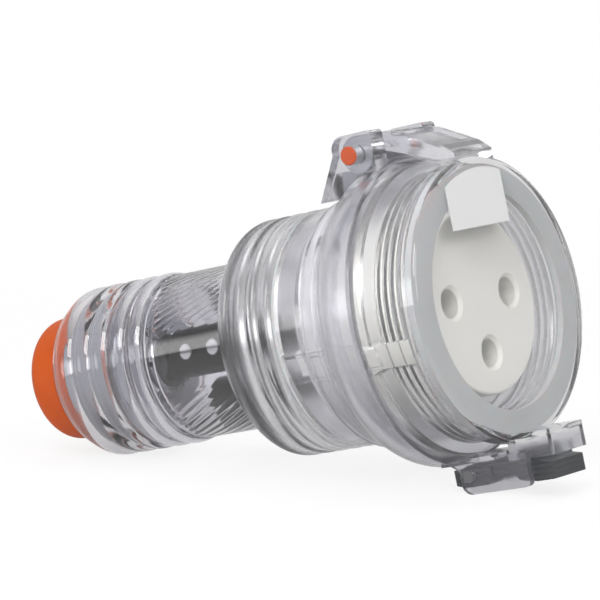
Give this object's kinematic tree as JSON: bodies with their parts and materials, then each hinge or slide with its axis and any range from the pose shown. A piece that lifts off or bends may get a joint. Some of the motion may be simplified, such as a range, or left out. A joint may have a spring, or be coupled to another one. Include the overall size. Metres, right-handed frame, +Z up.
{
  "type": "inline socket connector",
  "caption": "Clear inline socket connector with a latched flap lid over round pin sockets, a ribbed gland nut and an orange cable grommet.",
  "frame": {"origin": "the middle of the bounding box's base, with the connector lying on its latch bracket and gland nut", "axes": "+X towards the socket face along the length, +Y along the lid's hinge pin, +Z up"},
  "size_m": [0.1644, 0.079, 0.0904],
  "materials": {
    "clear_shell": "clear moulded polycarbonate, smooth, faint grey-lavender tint",
    "frosted_seal": "pale grey elastomer, matt",
    "label_white": "plain pale label, matt",
    "orange_pin": "orange moulded plastic",
    "dark_lever": "dark grey moulded plastic with a fine grain",
    "steel_pin": "plain steel",
    "white_insert": "off-white moulded plastic, satin",
    "plated_screw": "nickel-plated steel",
    "black_seal": "black rubber",
    "grey_washer": "grey plastic",
    "clear_grip": "cloudy clear plastic",
    "orange_rubber": "orange rubber, satin",
    "contact_metal": "dulled brass"
  },
  "bodies": {
    "housing": {"socket_body": "clear_shell", "lid_collar": "clear_shell", "rear_body": "clear_shell", "gland_nut": "clear_shell", "hinge_pin": "steel_pin", "hinge_caps": "orange_pin", "latch_pin": "steel_pin", "socket_insert": "white_insert", "insert_lock_ring": "white_insert", "insert_screws": "plated_screw", "body_seal": "frosted_seal", "cord_seal": "black_seal", "gland_washer": "grey_washer", "press_sleeve": "grey_washer", "cable_grip": "clear_grip", "cable_grommet": "orange_rubber", "contact_1": "contact_metal", "contact_2": "contact_metal", "contact_3": "contact_metal", "terminal_screws_1": "plated_screw", "terminal_screws_2": "plated_screw", "terminal_screws_3": "plated_screw"},
    "lid": {"lid": "clear_shell", "lid_seal": "frosted_seal", "label_plate": "label_white"},
    "latch": {"latch_lever": "dark_lever", "latch_spring": "steel_pin"}
  },
  "joints": [
    {"name": "lid_hinge", "type": "hinge", "parent": "housing", "child": "lid", "pos_m": [0.0282, 0, 0.08404], "axis": [0, -1, 0], "range_deg": [0, 110]},
    {"name": "latch_hinge", "type": "hinge", "parent": "housing", "child": "latch", "pos_m": [0.05866, 0, 0.00435], "axis": [0, 1, 0], "range_deg": [0, 12], "stiffness_Nm_per_rad": 0.08, "springref_deg": -11.46}
  ]
}
